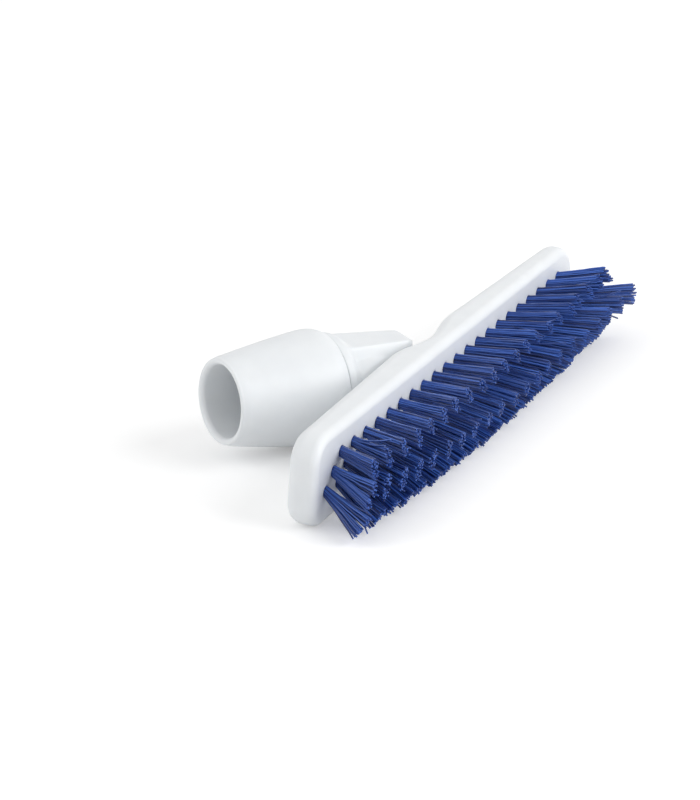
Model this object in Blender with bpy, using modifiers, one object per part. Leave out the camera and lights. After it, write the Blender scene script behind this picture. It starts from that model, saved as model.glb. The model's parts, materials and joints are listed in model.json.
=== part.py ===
"""Narrow floor scrub brush: a tufted white head on a pivoting neck with a socket for a pole.

The head is drawn with X along its length, +Z up its side and the filaments pointing along -Y.
The neck and the socket are drawn upright, along +Y from the pivot, and are then swung aside.
The whole brush lies on its side, resting on the socket's belly and the lowest filaments.
Lengths are in metres.
"""
from math import asin, atan2, copysign, cos, hypot, pi, radians, sin, sqrt, tan

import bmesh
import bpy
from mathutils import Matrix, Vector

MM = 0.001

# Fits between neighbouring pieces
TOUCH_GAP = 0.3 * MM
PIN_CLEARANCE = 0.15 * MM

# Head
HEAD_LENGTH = 230 * MM
HEAD_HEIGHT = 30 * MM
END_THICKNESS = 11.2 * MM
SHOULDER_THICKNESS = 13.2 * MM
SADDLE_FLOOR = 9.2 * MM
SADDLE_LENGTH = 48 * MM
END_LAND = 7 * MM
CORNER_RADIUS = 10 * MM
BACK_EDGE_RADIUS = 4.8 * MM
FACE_EDGE_RADIUS = 2.4 * MM

# Tufts, with the end margin counted from the last hole of the middle row
END_MARGIN = 15 * MM
TUFT_PITCH = 10 * MM
ROW_SPACING = 5.3 * MM
ROW_SHIFT = 5.5 * MM
FAN_END_ANGLE = radians(33)
END_SHORTENING = 0.18
RING_STRANDS = 6
ROOT_RING_RADIUS = 1.45 * MM
TIP_RING_RADIUS = 2.2 * MM
STRAND_RADIUS = 0.55 * MM
STRAND_TIP_RADIUS = 0.45 * MM
STRAND_SIDES = 3
TRIM_UNEVENNESS = 0.5 * MM
TRIM_SLOPE = 0.5
STRAND_PHASE = 2.4
COLUMN_PHASE = 1.7
ROW_PHASE = 4.6
BACKING_THICKNESS = 1.6 * MM
BACKING_RIM = 0.35 * MM

# Reach of the filaments from the face in the three rows, and how far the rows' tips
# sink below their roots; the lower row's tips lie on the floor instead
UPPER_REACH = 18.8 * MM
MIDDLE_REACH = 25 * MM
LOWER_REACH = 22.6 * MM
UPPER_TIP_DROP = -1.6 * MM
MIDDLE_TIP_DROP = 2.6 * MM

# Roll of the head about its length as the brush lies on its side
LYING_ROLL = radians(4.3)

# Pivot, above the saddle's floor; the neck swings until it comes this near to the back
PIVOT_RISE = 3.8 * MM
STOP_CLEARANCE = 1.7 * MM
PIN_RADIUS = 2.5 * MM
TONGUE_THICKNESS = 8 * MM
TONGUE_WALL = 3.1 * MM
TONGUE_ROOT = 2 * MM
EAR_THICKNESS = 3.2 * MM
EAR_WALL = 2.7 * MM
EAR_GAP = 0.4 * MM

# Neck, with stations counted from the pivot; the nose is round about its own axis and its
# section is squarish, and turns into the collar's circle
EAR_ROOM = 2.4 * MM
NOSE_RADIUS = 5.8 * MM
NOSE_ROUNDING = 4 * MM
NOSE_STEP = 0.6 * MM
NOSE_SQUARENESS = 5
COLLAR_STEP = 1 * MM
COLLAR_LENGTH = 3.4 * MM
COLLAR_LIP = 0.8 * MM
SEAM_STATION = 37.5 * MM

# Socket barrel, with depths counted from its mouth
BARREL_LENGTH = 40.1 * MM
MOUTH_WALL = 2.8 * MM
MOUTH_EDGE_RADIUS = 1.4 * MM
MOUTH_CHAMFER = 0.4 * MM
MOUTH_CURVE = 1.2
BELLY_RADIUS = 20.4 * MM
BELLY_DEPTH = 34.5 * MM
SEAM_CURVE = 2.5
SEAM_RADIUS = 18.4 * MM
SEAM_EDGE_RADIUS = 1 * MM
BORE_RADIUS = 12.7 * MM
LEAD_IN_DEPTH = 15 * MM
THREAD_RADIUS = 11.5 * MM
THREAD_TAPER = 3 * MM
FLOOR_THICKNESS = 5.6 * MM

# Fixing of the barrel on the neck
SPIGOT_RADIUS = 6 * MM
WASHER_MARGIN = 2.9 * MM
WASHER_THICKNESS = 1.2 * MM
SCREW_RADIUS = 2 * MM
SCREW_LENGTH = 17 * MM
SCREW_HEAD_RADIUS = 4.2 * MM
SCREW_HEAD_HEIGHT = 2.8 * MM
SCREW_CROWN = 1.5 * MM
CROSS_SPAN = 4.2 * MM
CROSS_WIDTH = 1 * MM
CROSS_DEPTH = 1.4 * MM

# Fineness of the round shapes, and how far a cutter runs past what it cuts
ROUND_STEPS = 48
SMALL_STEPS = 32
OUTLINE_SAMPLES = 60
SMOOTH_ANGLE = radians(35)
CUT_MARGIN = 1 * MM
TOLERANCE = 0.001 * MM

# Values that follow from the sizes above
COLUMN_COUNT = int((HEAD_LENGTH - 2 * END_MARGIN + TOLERANCE) / TUFT_PITCH) + 1
END_STEP = (COLUMN_COUNT - 1) / 2
BACKING_SLANT = ROW_SHIFT / ROW_SPACING
PIVOT_DEPTH = SADDLE_FLOOR + PIVOT_RISE
TONGUE_RADIUS = PIN_RADIUS + TONGUE_WALL
EAR_RADIUS = PIN_RADIUS + EAR_WALL
EAR_OUTER = TONGUE_THICKNESS / 2 + EAR_GAP + EAR_THICKNESS
EAR_ROOM_RADIUS = EAR_RADIUS + EAR_ROOM
NOSE_START = PIN_RADIUS + TOUCH_GAP
NOSE_CENTRE = NOSE_START + NOSE_RADIUS
NOSE_HALF_HEIGHT = HEAD_HEIGHT / 2 - NOSE_STEP
TONGUE_END = EAR_ROOM_RADIUS + TONGUE_ROOT
COLLAR_START = SEAM_STATION - COLLAR_LENGTH
COLLAR_RADIUS = SEAM_RADIUS - COLLAR_STEP
NECK_END_RADIUS = COLLAR_RADIUS - COLLAR_LIP
FLANK_ANGLE = (atan2(NECK_END_RADIUS, COLLAR_START - NOSE_CENTRE)
               - asin(NOSE_RADIUS / hypot(NECK_END_RADIUS, COLLAR_START - NOSE_CENTRE)))
MOUTH_RADIUS = BORE_RADIUS + MOUTH_WALL
WASHER_RADIUS = THREAD_RADIUS - WASHER_MARGIN
MOUTH_STATION = SEAM_STATION + TOUCH_GAP + BARREL_LENGTH
FLOOR_STATION = SEAM_STATION + TOUCH_GAP + FLOOR_THICKNESS
SCREW_SEAT = FLOOR_STATION + TOUCH_GAP + WASHER_THICKNESS + TOUCH_GAP
SCREW_TIP = SCREW_SEAT - SCREW_LENGTH


def clear_scene():
    for obj in list(bpy.data.objects):
        bpy.data.objects.remove(obj, do_unlink=True)


def make_collection(name):
    collection = bpy.data.collections.new(name)
    bpy.context.scene.collection.children.link(collection)
    return collection


def make_material(name, colour, roughness, metallic=0.0):
    material = bpy.data.materials.new(name)
    material.use_nodes = True
    shader = material.node_tree.nodes["Principled BSDF"]
    shader.inputs["Base Color"].default_value = (*colour, 1.0)
    shader.inputs["Roughness"].default_value = roughness
    shader.inputs["Metallic"].default_value = metallic
    return material


def object_from_bmesh(name, bm, collection, material=None, parent=None):
    bmesh.ops.recalc_face_normals(bm, faces=bm.faces)
    mesh = bpy.data.meshes.new(name)
    bm.to_mesh(mesh)
    bm.free()
    mesh.shade_smooth()
    mesh.set_sharp_from_angle(angle=SMOOTH_ANGLE)
    obj = bpy.data.objects.new(name, mesh)
    collection.objects.link(obj)
    if material:
        mesh.materials.append(material)
    obj.parent = parent
    return obj


def make_cutter(name, bm, parent=None):
    cutter = object_from_bmesh(name, bm, cutters, parent=parent)
    cutter.hide_render = True
    cutter.display_type = "WIRE"
    return cutter


def combine(obj, other, operation):
    modifier = obj.modifiers.new(operation.lower() + "_" + other.name, "BOOLEAN")
    modifier.operation = operation
    modifier.solver = "EXACT"
    modifier.object = other
    return modifier


def make_empty(name, parent=None):
    empty = bpy.data.objects.new(name, None)
    brush.objects.link(empty)
    empty.parent = parent
    return empty


def arc(centre_x, centre_y, radius, start, end, steps):
    angles = [start + (end - start) * k / steps for k in range(steps + 1)]
    return [(centre_x + radius * cos(a), centre_y + radius * sin(a)) for a in angles]


def prism(outline, low, high):
    """A closed slab with the given outline in X and Y, between two heights."""
    bm = bmesh.new()
    face = bm.faces.new([bm.verts.new((x, y, low)) for x, y in outline])
    grown = bmesh.ops.extrude_face_region(bm, geom=[face])
    moved = [v for v in grown["geom"] if isinstance(v, bmesh.types.BMVert)]
    bmesh.ops.translate(bm, verts=moved, vec=(0, 0, high - low))
    return bm


def along_y(bm):
    """Turns shapes made along Z so that they run along +Y."""
    bmesh.ops.rotate(bm, verts=bm.verts, cent=(0, 0, 0), matrix=Matrix.Rotation(-pi / 2, 3, "X"))


def rod(bm, radius, low, high, steps=SMALL_STEPS):
    """A capped cylinder on the Z axis between two heights."""
    place = Matrix.Translation((0, 0, (low + high) / 2))
    bmesh.ops.create_cone(bm, cap_ends=True, segments=steps, radius1=radius, radius2=radius,
                          depth=high - low, matrix=place)


def turned(name, profile, collection, material=None, parent=None, steps=ROUND_STEPS):
    """A solid of revolution on the Z axis; the profile runs down its outer side."""
    bm = bmesh.new()
    points = [bm.verts.new((radius, 0, height)) for radius, height in profile]
    for first, second in zip(points, points[1:]):
        bm.edges.new((first, second))
    mesh = bpy.data.meshes.new(name)
    bm.to_mesh(mesh)
    bm.free()
    obj = bpy.data.objects.new(name, mesh)
    collection.objects.link(obj)
    if material:
        mesh.materials.append(material)
    obj.parent = parent
    screw = obj.modifiers.new("turn", "SCREW")
    screw.axis = "Z"
    screw.steps = steps
    screw.render_steps = steps
    screw.use_merge_vertices = True
    screw.merge_threshold = TOLERANCE
    screw.use_smooth_shade = True
    return obj


def thickness_at(x):
    """The head's thickness: thinner towards its ends, with a dip for the neck in the middle."""
    shoulder = SADDLE_LENGTH / 2
    if abs(x) < shoulder:
        return SADDLE_FLOOR + (SHOULDER_THICKNESS - SADDLE_FLOOR) * (1 - cos(pi * x / shoulder)) / 2
    share = min(1, (abs(x) - shoulder) / (HEAD_LENGTH / 2 - END_LAND - shoulder))
    return SHOULDER_THICKNESS + (END_THICKNESS - SHOULDER_THICKNESS) * share


def round_edges(bm, edges, radius, segments):
    bmesh.ops.bevel(bm, geom=edges, offset=radius, offset_type="OFFSET", affect="EDGES",
                    segments=segments, profile=0.5, clamp_overlap=True, material=-1)


def head_blank():
    """A block with rounded corners and edges, crowned at its back and with the saddle in it."""
    bm = bmesh.new()
    bmesh.ops.create_cube(bm, size=1)
    bmesh.ops.scale(bm, verts=bm.verts, vec=(HEAD_LENGTH, SHOULDER_THICKNESS, HEAD_HEIGHT))
    bmesh.ops.translate(bm, verts=bm.verts, vec=(0, SHOULDER_THICKNESS / 2, 0))
    corners = [e for e in bm.edges if abs(e.verts[0].co.y - e.verts[1].co.y) > TOLERANCE]
    round_edges(bm, corners, CORNER_RADIUS, 6)
    for level, radius, segments in ((SHOULDER_THICKNESS, BACK_EDGE_RADIUS, 4), (0, FACE_EDGE_RADIUS, 3)):
        rims = [e for e in bm.edges if all(abs(v.co.y - level) < TOLERANCE for v in e.verts)]
        round_edges(bm, rims, radius, segments)

    saddle_steps = 12
    places = [SADDLE_LENGTH / 2 * k / saddle_steps for k in range(saddle_steps + 1)]
    places.append(HEAD_LENGTH / 2 - CORNER_RADIUS)
    for x in sorted({side * place for side in (-1, 1) for place in places}):
        everything = bm.verts[:] + bm.edges[:] + bm.faces[:]
        bmesh.ops.bisect_plane(bm, geom=everything, plane_co=(x, 0, 0), plane_no=(1, 0, 0), dist=TOLERANCE)
    for vert in bm.verts:
        if vert.co.y > SHOULDER_THICKNESS / 2:
            vert.co.y -= SHOULDER_THICKNESS - thickness_at(vert.co.x)
    return bm


def backing_block(margin, depth, lift):
    """The slanted slice of backing that carries one column of tufts, grown by a margin."""
    rim = ROOT_RING_RADIUS + STRAND_RADIUS + BACKING_RIM + margin
    half_width = rim * sqrt(1 + BACKING_SLANT ** 2)
    bm = bmesh.new()
    bmesh.ops.create_cube(bm, size=1)
    bmesh.ops.scale(bm, verts=bm.verts, vec=(2 * half_width, depth + lift, 2 * (ROW_SPACING + rim)))
    bmesh.ops.translate(bm, verts=bm.verts, vec=(0, (depth - lift) / 2, 0))
    slant = Matrix(((1, 0, BACKING_SLANT), (0, 1, 0), (0, 0, 1)))
    bmesh.ops.transform(bm, verts=bm.verts, matrix=slant.to_4x4())
    return bm


def strand(bm, root, tip):
    """One filament of few sides from a root inside the backing to its free tip."""
    run = tip - root
    turn = run.to_track_quat("Z", "X").to_matrix().to_4x4()
    place = Matrix.Translation((root + tip) / 2) @ turn
    bmesh.ops.create_cone(bm, cap_ends=True, segments=STRAND_SIDES, radius1=STRAND_RADIUS,
                          radius2=STRAND_TIP_RADIUS, depth=run.length, matrix=place)


def tuft_strands(bm, step, row):
    """The strands of one tuft, splayed along the head by its column and up or down by its row."""
    root_height, shift, reach, drop = row
    share = step / END_STEP
    reach *= 1 - END_SHORTENING * share ** 2
    lean = tan(FAN_END_ANGLE * share)
    embed = BACKING_THICKNESS / 2
    places = [(0.0, 0.0)] + arc(0, 0, 1, 0, 2 * pi, RING_STRANDS)[1:]
    for k, (across, up) in enumerate(places):
        side = root_height / ROW_SPACING
        uneven = TRIM_UNEVENNESS * sin(STRAND_PHASE * k + COLUMN_PHASE * step + ROW_PHASE * side)
        outward = up * side
        own_reach = reach + uneven - TRIM_SLOPE * outward * TIP_RING_RADIUS
        fall = floor_drop(own_reach, root_height) if drop is None else drop
        root = Vector((shift + across * ROOT_RING_RADIUS, 0, root_height + up * ROOT_RING_RADIUS))
        tip = Vector((shift + lean * own_reach + across * TIP_RING_RADIUS, -own_reach,
                      root_height - fall + up * TIP_RING_RADIUS))
        direction = (tip - root) / own_reach
        strand(bm, root - direction * embed, tip)


def floor_height():
    """Height of the floor under the head's middle plane, which the socket's belly rests on."""
    tilt = cos(NECK_SWING) * sin(LYING_ROLL)
    heights = []
    for station, radius in barrel_flank():
        centre = PIVOT_DEPTH * sin(LYING_ROLL) + station * tilt
        heights.append(centre - radius * sqrt(1 - tilt ** 2))
    return min(heights)


def floor_drop(reach, root_height):
    """How far a tuft's tip sinks so that its lowest filaments lie on the floor."""
    lowest = (floor_height() + reach * sin(LYING_ROLL)) / cos(LYING_ROLL)
    return root_height - (lowest + TIP_RING_RADIUS + STRAND_TIP_RADIUS)


def make_head():
    head = object_from_bmesh("head_block", head_blank(), brush, white_plastic, lying)

    ears = prism(ear_outline(), -EAR_OUTER, EAR_OUTER)
    combine(head, make_cutter("ears", ears, lying), "UNION")
    combine(head, make_cutter("tongue_slot", tongue_slot(), lying), "DIFFERENCE")

    hole = bmesh.new()
    rod(hole, PIN_RADIUS + PIN_CLEARANCE, -EAR_OUTER - CUT_MARGIN, EAR_OUTER + CUT_MARGIN)
    bmesh.ops.translate(hole, verts=hole.verts, vec=(0, PIVOT_DEPTH, 0))
    combine(head, make_cutter("pin_hole", hole, lying), "DIFFERENCE")

    seats = bmesh.new()
    for step in column_steps():
        seat = backing_block(TOUCH_GAP, BACKING_THICKNESS + TOUCH_GAP, CUT_MARGIN)
        bmesh.ops.translate(seat, verts=seat.verts, vec=(step * TUFT_PITCH, 0, 0))
        add_bmesh(seats, seat)
    combine(head, make_cutter("backing_seats", seats, lying), "DIFFERENCE")
    return head


def add_bmesh(target, source):
    mesh = bpy.data.meshes.new("part")
    source.to_mesh(mesh)
    source.free()
    target.from_mesh(mesh)
    bpy.data.meshes.remove(mesh)


def column_steps():
    """Column places in pitches from the head's middle."""
    return [k - END_STEP for k in range(COLUMN_COUNT)]


def ear_outline():
    """Ears stand on the saddle's floor and are round about the pin."""
    top = arc(0, PIVOT_DEPTH, EAR_RADIUS, 0, pi, 16)
    base = SADDLE_FLOOR / 2
    return [(EAR_RADIUS, base)] + top + [(-EAR_RADIUS, base)]


def tongue_slot():
    """Room for the neck's tongue between the ears, over its whole swing."""
    bottom = arc(0, PIVOT_DEPTH, TONGUE_RADIUS + EAR_GAP, NECK_SWING - pi, -NECK_SWING, 10)
    out_x, out_y = sin(NECK_SWING) * TONGUE_END, cos(NECK_SWING) * TONGUE_END
    left, right = bottom[0], bottom[-1]
    above = max(PIVOT_DEPTH + EAR_RADIUS + CUT_MARGIN, right[1] + out_y + CUT_MARGIN)
    outline = [(left[0] - out_x, above), (left[0] - out_x, left[1] + out_y)] + bottom
    outline += [(right[0] + out_x, right[1] + out_y), (right[0] + out_x, above)]
    half = TONGUE_THICKNESS / 2 + EAR_GAP
    return prism(outline, -half, half)


def make_tufts():
    for number, step in enumerate(column_steps(), start=1):
        name = "tuft_column_%02d" % number
        backing = backing_block(0, BACKING_THICKNESS, 0)
        column = object_from_bmesh(name, backing, brush, blue_filament, lying)
        column.location.x = step * TUFT_PITCH
        strands = bmesh.new()
        for row in ROWS:
            tuft_strands(strands, step, row)
        filaments = make_cutter(name + "_strands", strands, lying)
        filaments.location = column.location
        combine(column, filaments, "UNION")


def neck_half_width(station):
    """A round nose, and straight flanks that leave it at a tangent for the collar."""
    ahead = station - NOSE_CENTRE
    if ahead < -NOSE_RADIUS * sin(FLANK_ANGLE):
        return sqrt(max(0.0, NOSE_RADIUS ** 2 - ahead ** 2))
    return ahead * tan(FLANK_ANGLE) + NOSE_RADIUS / cos(FLANK_ANGLE)


def neck_half_height(station):
    """The upper and lower sides rise to the collar, and are rounded over the nose."""
    share = (station - NOSE_START) / (COLLAR_START - NOSE_START)
    short = max(0.0, 1 - (station - NOSE_START) / NOSE_ROUNDING)
    rounding = NOSE_ROUNDING * (1 - sqrt(1 - short ** 2))
    return NOSE_HALF_HEIGHT + (NECK_END_RADIUS - NOSE_HALF_HEIGHT) * share - rounding


def neck_squareness(station):
    """Exponent of the section: 2 is a circle or an ellipse, and more is squarer."""
    share = (station - NOSE_START) / (COLLAR_START - NOSE_START)
    return 2 + (NOSE_SQUARENESS - 2) * (1 - share ** 2)


def neck_flank():
    """Stations and half widths of the neck, seen along the pivot pin."""
    length = COLLAR_START - NOSE_START
    stations = [NOSE_START + length * k / OUTLINE_SAMPLES for k in range(OUTLINE_SAMPLES + 1)]
    return [(s, neck_half_width(s)) for s in stations] + [(SEAM_STATION, COLLAR_RADIUS)]


def barrel_flank():
    """Stations and radii of the barrel from its mouth to its seam."""
    depths = [BARREL_LENGTH * k / OUTLINE_SAMPLES for k in range(OUTLINE_SAMPLES + 1)]
    return [(MOUTH_STATION - d, barrel_radius(d)) for d in depths]


def gap_to_back(station, half_width, swing):
    """How far a point on the swung neck's flank stays from the head's back."""
    x = station * sin(swing) + half_width * cos(swing)
    y = PIVOT_DEPTH + station * cos(swing) - half_width * sin(swing)
    return y - thickness_at(x)


def swing_limit():
    """The swing at which the neck or the barrel comes as near to the head's back as it may."""
    flank = neck_flank() + barrel_flank()
    low, high = 0.0, pi / 2
    while high - low > radians(0.001):
        swing = (low + high) / 2
        if min(gap_to_back(s, w, swing) for s, w in flank) > STOP_CLEARANCE:
            low = swing
        else:
            high = swing
    return low


def loft(sections, steps):
    """Joins rings along Y, from ellipses to rounded rectangles, into one closed body."""
    bm = bmesh.new()
    rings = []
    for station, half_width, half_height, squareness in sections:
        ring = bmesh.ops.create_circle(bm, segments=steps, radius=1)["verts"]
        for v in ring:
            x, z = [copysign(abs(c) ** (2 / squareness), c) for c in v.co.xy]
            v.co = (x * half_width, station, z * half_height)
        rings.append(ring)
    for first, second in zip(rings, rings[1:]):
        pair = (set(first), set(second))
        edges = [e for e in bm.edges if any(ring.issuperset(e.verts) for ring in pair)]
        bmesh.ops.bridge_loops(bm, edges=edges)
    bm.faces.new(rings[0])
    bm.faces.new(rings[-1])
    return bm


def make_neck():
    nose_steps, flank_steps, collar_steps = 6, 6, 2
    flank_start = NOSE_CENTRE - NOSE_RADIUS * sin(FLANK_ANGLE)
    stations = [NOSE_CENTRE - NOSE_RADIUS * cos((pi / 2 - FLANK_ANGLE) * k / nose_steps)
                for k in range(1, nose_steps + 1)]
    stations += [flank_start + (COLLAR_START - flank_start) * k / flank_steps
                 for k in range(1, flank_steps + 1)]
    sections = [(s, neck_half_width(s), neck_half_height(s), neck_squareness(s)) for s in stations]
    for k in range(1, collar_steps + 1):
        share = k / collar_steps
        radius = NECK_END_RADIUS + COLLAR_LIP * sin(pi / 2 * share)
        sections.append((COLLAR_START + COLLAR_LENGTH * share, radius, radius, 2))
    neck = object_from_bmesh("neck", loft(sections, ROUND_STEPS), brush, white_plastic, pivot)

    room = bmesh.new()
    rod(room, EAR_ROOM_RADIUS, -EAR_OUTER - EAR_GAP, EAR_OUTER + EAR_GAP)
    combine(neck, make_cutter("ear_room", room, pivot), "DIFFERENCE")

    outline = arc(0, 0, TONGUE_RADIUS, pi, 2 * pi, 16)
    outline += [(TONGUE_RADIUS, TONGUE_END), (-TONGUE_RADIUS, TONGUE_END)]
    tongue = prism(outline, -TONGUE_THICKNESS / 2, TONGUE_THICKNESS / 2)
    combine(neck, make_cutter("neck_tongue", tongue, pivot), "UNION")

    spigot = bmesh.new()
    rod(spigot, SPIGOT_RADIUS, SEAM_STATION - CUT_MARGIN, FLOOR_STATION - TOUCH_GAP)
    along_y(spigot)
    combine(neck, make_cutter("neck_spigot", spigot, pivot), "UNION")

    hole = bmesh.new()
    rod(hole, PIN_RADIUS + PIN_CLEARANCE, -TONGUE_THICKNESS, TONGUE_THICKNESS)
    combine(neck, make_cutter("tongue_hole", hole, pivot), "DIFFERENCE")

    pilot = bmesh.new()
    rod(pilot, SCREW_RADIUS + PIN_CLEARANCE, SCREW_TIP - CUT_MARGIN, FLOOR_STATION + CUT_MARGIN)
    along_y(pilot)
    combine(neck, make_cutter("screw_pilot", pilot, pivot), "DIFFERENCE")
    return neck


def barrel_radius(depth):
    """The outer radius swells from the mouth to the belly and falls away to the seam."""
    if depth <= BELLY_DEPTH:
        share = 1 - depth / BELLY_DEPTH
        return BELLY_RADIUS - (BELLY_RADIUS - MOUTH_RADIUS) * share ** MOUTH_CURVE
    share = (depth - BELLY_DEPTH) / (BARREL_LENGTH - BELLY_DEPTH)
    return BELLY_RADIUS - (BELLY_RADIUS - SEAM_RADIUS) * share ** SEAM_CURVE


def make_barrel():
    """The barrel is turned about Z with its mouth up, then laid along the neck's axis."""
    rim = [(MOUTH_RADIUS - MOUTH_EDGE_RADIUS + x, MOUTH_STATION - MOUTH_EDGE_RADIUS + y)
           for x, y in reversed(arc(0, 0, MOUTH_EDGE_RADIUS, 0, pi / 2, 3))]
    flank_steps = 9
    start, end = MOUTH_EDGE_RADIUS, BARREL_LENGTH - SEAM_EDGE_RADIUS
    flank = []
    for k in range(1, flank_steps + 1):
        depth = start + (end - start) * k / flank_steps
        flank.append((barrel_radius(depth), MOUTH_STATION - depth))
    seam = MOUTH_STATION - BARREL_LENGTH
    foot = [(barrel_radius(end) - SEAM_EDGE_RADIUS + x, seam + SEAM_EDGE_RADIUS + y)
            for x, y in reversed(arc(0, 0, SEAM_EDGE_RADIUS, -pi / 2, 0, 3))][1:]
    hole = SPIGOT_RADIUS + TOUCH_GAP
    lead_in = MOUTH_STATION - LEAD_IN_DEPTH
    inner = [(hole, seam), (hole, FLOOR_STATION), (THREAD_RADIUS, FLOOR_STATION),
             (THREAD_RADIUS, lead_in - THREAD_TAPER), (BORE_RADIUS, lead_in),
             (BORE_RADIUS, MOUTH_STATION - MOUTH_CHAMFER), (BORE_RADIUS + MOUTH_CHAMFER, MOUTH_STATION)]
    profile = rim + flank + foot + inner
    barrel = turned("socket_barrel", profile + [profile[0]], brush, white_plastic, pivot)
    barrel.rotation_euler.x = -pi / 2
    return barrel


def make_pin():
    bm = bmesh.new()
    rod(bm, PIN_RADIUS, -EAR_OUTER, EAR_OUTER)
    pin = object_from_bmesh("pivot_pin", bm, brush, bright_steel, lying)
    pin.location.y = PIVOT_DEPTH
    return pin


def make_fixing():
    inner = SCREW_RADIUS + TOUCH_GAP
    low = FLOOR_STATION + TOUCH_GAP
    washer_profile = [(inner, low + WASHER_THICKNESS), (WASHER_RADIUS, low + WASHER_THICKNESS),
                      (WASHER_RADIUS, low), (inner, low), (inner, low + WASHER_THICKNESS)]
    washer = turned("retaining_washer", washer_profile, brush, bright_steel, pivot, SMALL_STEPS)
    washer.rotation_euler.x = -pi / 2

    top = SCREW_SEAT + SCREW_HEAD_HEIGHT
    profile = [(SCREW_HEAD_RADIUS * x, top - SCREW_CROWN * (1 - y)) for x, y in arc(0, 0, 1, pi / 2, 0, 4)]
    profile[0] = (0, top)
    profile += [(SCREW_HEAD_RADIUS, SCREW_SEAT), (SCREW_RADIUS, SCREW_SEAT),
                (SCREW_RADIUS, SCREW_TIP + SCREW_RADIUS), (0, SCREW_TIP)]
    screw = turned("retaining_screw", profile, brush, bright_steel, pivot, SMALL_STEPS)
    screw.rotation_euler.x = -pi / 2
    cross = bmesh.new()
    for turn in (0, pi / 2):
        arm = bmesh.new()
        bmesh.ops.create_cube(arm, size=1)
        bmesh.ops.scale(arm, verts=arm.verts, vec=(CROSS_SPAN, CROSS_WIDTH, 2 * CROSS_DEPTH))
        bmesh.ops.translate(arm, verts=arm.verts, vec=(0, 0, top))
        bmesh.ops.rotate(arm, verts=arm.verts, cent=(0, 0, 0), matrix=Matrix.Rotation(turn, 3, "Z"))
        add_bmesh(cross, arm)
    cutter = make_cutter("screw_cross", cross, pivot)
    cutter.rotation_euler.x = -pi / 2
    modifier = combine(screw, cutter, "DIFFERENCE")
    modifier.use_self = True


def seat_on_floor():
    """Puts the floor at the lowest point and the origin under the middle of the brush."""
    bpy.context.view_layer.update()
    depsgraph = bpy.context.evaluated_depsgraph_get()
    corners = []
    for obj in brush.objects:
        if obj.type != "MESH":
            continue
        body = obj.evaluated_get(depsgraph)
        corners += [body.matrix_world @ v.co for v in body.data.vertices]
    low = [min(c[k] for c in corners) for k in range(3)]
    high = [max(c[k] for c in corners) for k in range(3)]
    lying.location = (-(low[0] + high[0]) / 2, -(low[1] + high[1]) / 2, -low[2])


# Root height, shift along the head, reach and drop of each row's tips
ROWS = (
    (ROW_SPACING, ROW_SHIFT, UPPER_REACH, UPPER_TIP_DROP),
    (0.0, 0.0, MIDDLE_REACH, MIDDLE_TIP_DROP),
    (-ROW_SPACING, -ROW_SHIFT, LOWER_REACH, None),
)

NECK_SWING = swing_limit()

clear_scene()
brush = make_collection("floor_scrub_brush")
cutters = make_collection("cutters")
white_plastic = make_material("white polypropylene", (0.86, 0.89, 0.91), 0.38)
blue_filament = make_material("blue polyester filament", (0.03, 0.07, 0.34), 0.42)
bright_steel = make_material("bright steel", (0.62, 0.62, 0.64), 0.28, 1.0)

lying = make_empty("lying_brush")
pivot = make_empty("neck_pivot", lying)
pivot.location.y = PIVOT_DEPTH
pivot.rotation_euler.z = NECK_SWING
lying.rotation_euler.x = LYING_ROLL

make_head()
make_tufts()
make_neck()
make_barrel()
make_pin()
make_fixing()
seat_on_floor()
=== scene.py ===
import json
import math
import random

import bmesh
import bpy
from mathutils import Matrix, Vector


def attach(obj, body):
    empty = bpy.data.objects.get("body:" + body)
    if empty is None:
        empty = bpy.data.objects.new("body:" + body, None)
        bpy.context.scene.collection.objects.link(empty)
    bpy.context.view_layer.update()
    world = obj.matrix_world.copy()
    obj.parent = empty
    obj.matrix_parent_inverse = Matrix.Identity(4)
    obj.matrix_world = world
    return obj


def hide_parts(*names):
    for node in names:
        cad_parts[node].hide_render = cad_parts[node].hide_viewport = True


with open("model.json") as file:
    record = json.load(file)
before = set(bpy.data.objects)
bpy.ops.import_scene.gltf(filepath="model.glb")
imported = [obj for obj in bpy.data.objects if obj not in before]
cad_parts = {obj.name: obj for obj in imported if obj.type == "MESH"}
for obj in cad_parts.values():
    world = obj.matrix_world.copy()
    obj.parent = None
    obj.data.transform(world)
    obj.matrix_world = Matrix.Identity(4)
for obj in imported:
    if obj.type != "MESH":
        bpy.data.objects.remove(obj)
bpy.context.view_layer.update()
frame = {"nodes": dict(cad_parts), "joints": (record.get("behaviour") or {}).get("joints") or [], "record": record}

mm = 0.001
tiny = 0.001 * mm               # points closer than this count as one
overrun = 1 * mm                # how far a cutter or a root runs past its surface
scene = bpy.context.scene
scene.view_settings.view_transform = "Standard"
print("frame loaded:", len(frame["nodes"]), "nodes")


# The head's and the neck's own axes, read from the joint and the socket's mount
joint = frame["joints"][0]
mounts = {mount["name"]: mount for mount in frame["record"]["mounts"]}
pivotPoint = Vector(joint["pos_m"])
upAxis = Vector(joint["axis"]).normalized()        # along the pivot pin
boreAxis = Vector(mounts["socket_mouth"]["axis"]).normalized()
alongAxis = Vector((1, 0, 0))                      # along the head
backAxis = upAxis.cross(alongAxis)                 # from the tufts to the neck
swing = math.acos(max(-1, min(1, boreAxis.dot(backAxis))))     # the neck's angle from straight back


def placeMatrix(xAxis, yAxis, zAxis, origin):
    place = Matrix((xAxis, yAxis, zAxis)).transposed().to_4x4()
    place.translation = origin
    return place


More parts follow.
